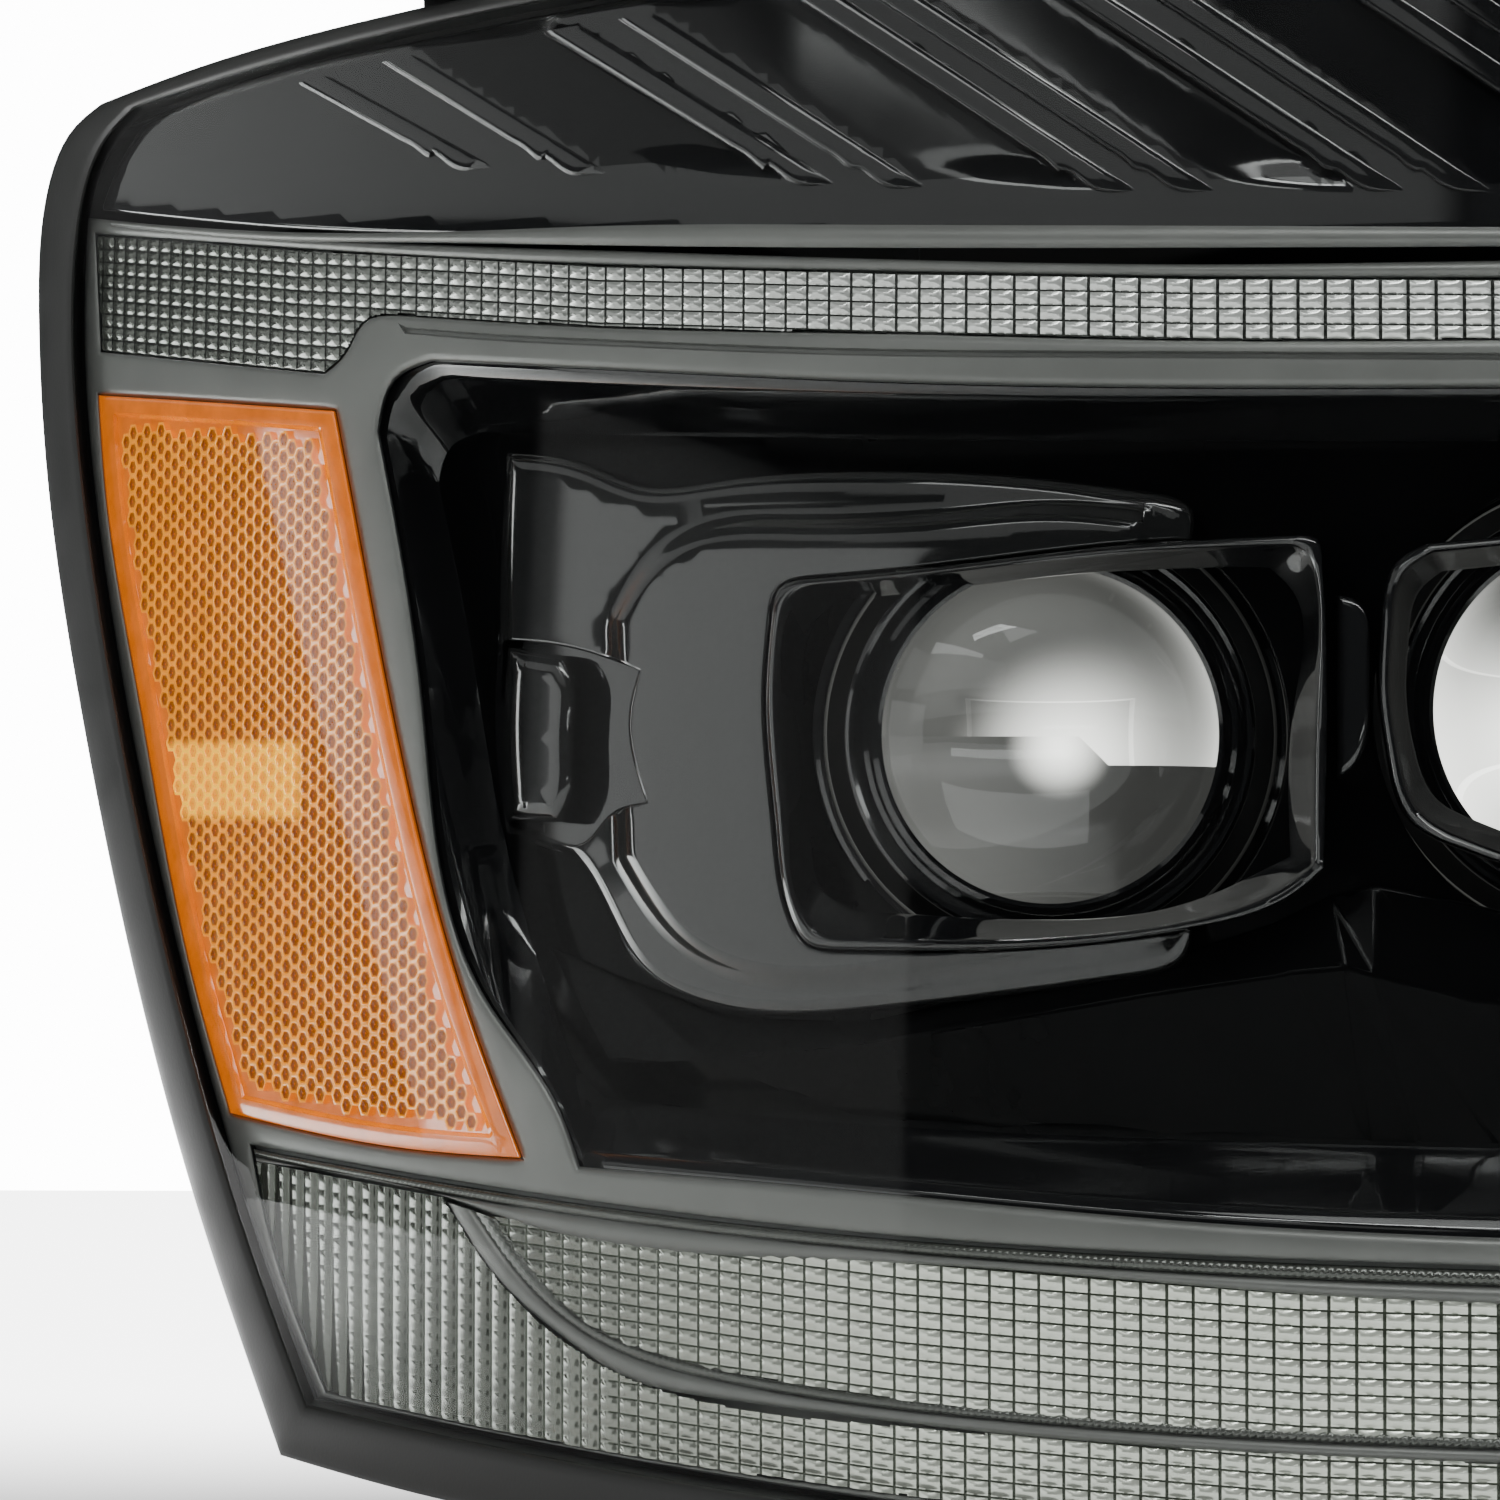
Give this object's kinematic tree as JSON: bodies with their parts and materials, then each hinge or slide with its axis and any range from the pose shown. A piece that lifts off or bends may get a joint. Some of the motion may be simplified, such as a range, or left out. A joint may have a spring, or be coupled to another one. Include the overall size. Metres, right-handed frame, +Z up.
{
  "type": "car headlight assembly",
  "caption": "Right-hand pickup headlight: swept clear lens, twin projectors on a tilting carrier, pillow-optic light bars, amber side reflector and serviceable rear housing.",
  "frame": {"origin": "midway between the holes of the upper mounting tabs, at mid height of their walls", "axes": "+Z up, the lamp faces -Y, +X towards the vehicle's centre line"},
  "size_m": [0.3883, 0.327, 0.3083],
  "materials": {
    "housing": "moulded black polypropylene, fine grain",
    "lens_border": "satin charcoal, smooth",
    "clear_lens": "clear hard-coated polycarbonate",
    "seal": "matt black sealing bead",
    "satin_trim": "satin graphite paint, semi-metallic",
    "gloss_black": "high-gloss black",
    "pillow_optic": "clear optic with pillow cells",
    "lower_optic": "smoked clear optic with ribs and cells",
    "amber": "amber prismatic reflex lens",
    "tray": "dark red-brown tray",
    "light_box": "light grey reflector moulding",
    "board": "white-masked circuit board",
    "projector_glass": "clear polished glass",
    "projector_metal": "die-cast, dull",
    "heat_sink": "extruded, bead blasted",
    "black_metal": "black coated steel",
    "steel": "zinc plated",
    "nylon": "natural nylon",
    "cap_plastic": "ribbed black cap",
    "cap_rubber": "black rubber"
  },
  "bodies": {
    "housing": {"rear_housing": "housing", "lens_seal": "seal", "lens_frame": "lens_border", "outer_lens": "clear_lens", "top_panel": "gloss_black", "bezel_frame": "satin_trim", "main_bezel": "gloss_black", "wing_shroud": "gloss_black", "side_pod": "gloss_black", "top_lens": "pillow_optic", "top_light_box": "light_box", "top_led_board": "board", "side_reflector": "amber", "marker_tray": "tray", "lower_lens_upper": "lower_optic", "lower_lens_lower": "lower_optic", "lower_rib_upper": "satin_trim", "lower_rib_lower": "satin_trim", "lower_light_box": "light_box", "lower_led_board": "board", "low_bezel": "gloss_black", "high_bezel": "gloss_black", "tab_sleeves": "steel", "locating_pin": "nylon", "trim_screws": "steel", "vent_caps": "cap_rubber", "driver_module": "heat_sink", "driver_screws": "steel", "connector_socket": "cap_plastic"},
    "carrier": {"aim_carrier": "black_metal", "pivot_pins": "steel", "retainer_screws": "steel", "shutter_pin": "steel", "solenoid": "black_metal", "low_projector": "projector_metal", "low_lens": "projector_glass", "low_lens_ring": "gloss_black", "low_led_board": "board", "low_heat_sink": "heat_sink", "high_projector": "projector_metal", "high_lens": "projector_glass", "high_lens_ring": "gloss_black", "high_led_board": "board", "high_heat_sink": "heat_sink"},
    "aim_screw": {"aim_screw": "steel"},
    "aim_nut": {"aim_nut": "nylon"},
    "shutter": {"cutoff_shutter": "steel"},
    "plunger": {"solenoid_plunger": "steel"},
    "low_cap": {"low_dust_cap": "cap_plastic", "low_cap_seal": "cap_rubber"},
    "high_cap": {"high_dust_cap": "cap_plastic", "high_cap_seal": "cap_rubber"}
  },
  "joints": [
    {"name": "aim_tilt", "type": "hinge", "parent": "housing", "child": "carrier", "pos_m": [0.051, -0.022, -0.084], "axis": [1, 0, 0], "range_deg": [-3, 3]},
    {"name": "aim_slide", "type": "slide", "parent": "housing", "child": "aim_screw", "axis": [0, 1, 0], "range_m": [-0.0062, 0.0062]},
    {"name": "aim_turn", "type": "hinge", "parent": "housing", "child": "aim_nut", "pos_m": [0.051, 0.046, -0.192], "axis": [0, 1, 0], "range_deg": [-540, 540]},
    {"name": "shutter_swing", "type": "hinge", "parent": "carrier", "child": "shutter", "pos_m": [0, -0.039, -0.17], "axis": [1, 0, 0], "range_deg": [0, 30], "stiffness_Nm_per_rad": 0.02, "springref_deg": -17.19},
    {"name": "plunger_slide", "type": "slide", "parent": "carrier", "child": "plunger", "axis": [0, 1, 0], "range_m": [0, 0.004]},
    {"name": "low_cap_turn", "type": "hinge", "parent": "housing", "child": "low_cap", "pos_m": [0, 0.06, -0.152], "axis": [0, 1, 0], "range_deg": [0, 40]},
    {"name": "high_cap_turn", "type": "hinge", "parent": "housing", "child": "high_cap", "pos_m": [0.101, 0.06, -0.1475], "axis": [0, 1, 0], "range_deg": [0, 40]}
  ],
  "couplings": [
    {"joint": "aim_slide", "follows": "aim_tilt", "m_per_rad": 0.108},
    {"joint": "aim_turn", "follows": "aim_tilt", "ratio": 169.65},
    {"joint": "plunger_slide", "follows": "shutter_swing", "m_per_rad": 0.007}
  ]
}
